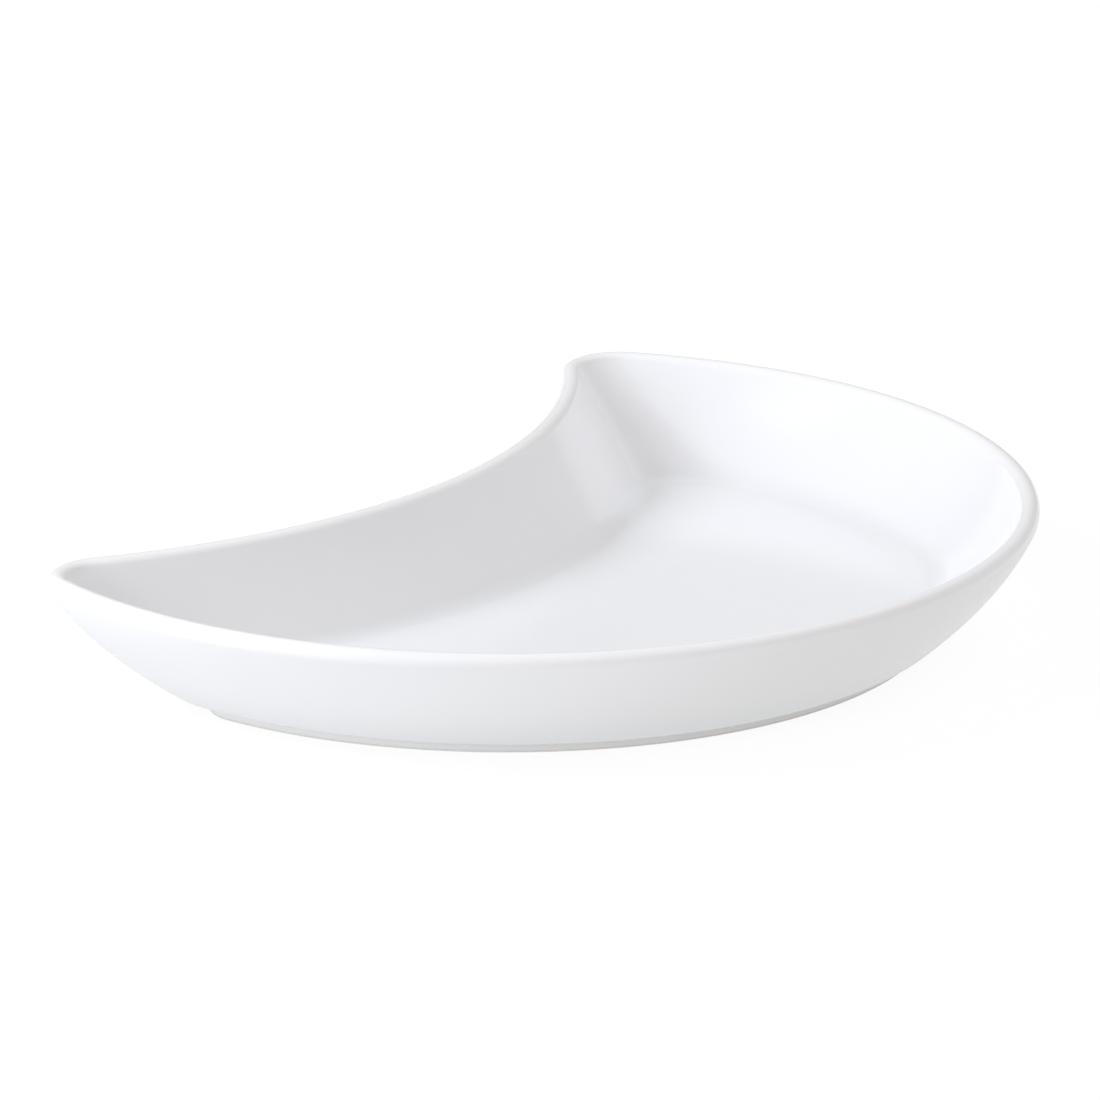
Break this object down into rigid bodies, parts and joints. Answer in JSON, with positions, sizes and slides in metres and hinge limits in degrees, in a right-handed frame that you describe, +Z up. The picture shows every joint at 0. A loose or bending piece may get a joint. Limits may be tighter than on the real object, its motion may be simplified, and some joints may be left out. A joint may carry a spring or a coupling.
{
  "type": "crescent side dish",
  "caption": "Shallow crescent side dish in white glazed ceramic with a round lip, curved wall, flat well and foot ring; its hollow edge nests against a round dinner plate.",
  "frame": {"origin": "middle of the overall length and depth, on the table plane under the foot ring", "axes": "+X from horn to horn along the length, +Y towards the hollow inner edge and the horns' tips, -Y towards the round belly, +Z up out of the well"},
  "size_m": [0.203, 0.1454, 0.0252],
  "materials": {
    "white_glaze": "gloss",
    "bare_ceramic": "matt, wiped clean of glaze"
  },
  "bodies": {
    "root": {"ceramic_body": "bare_ceramic", "glaze_coat": "white_glaze", "underside_glaze": "white_glaze"}
  },
  "joints": []
}
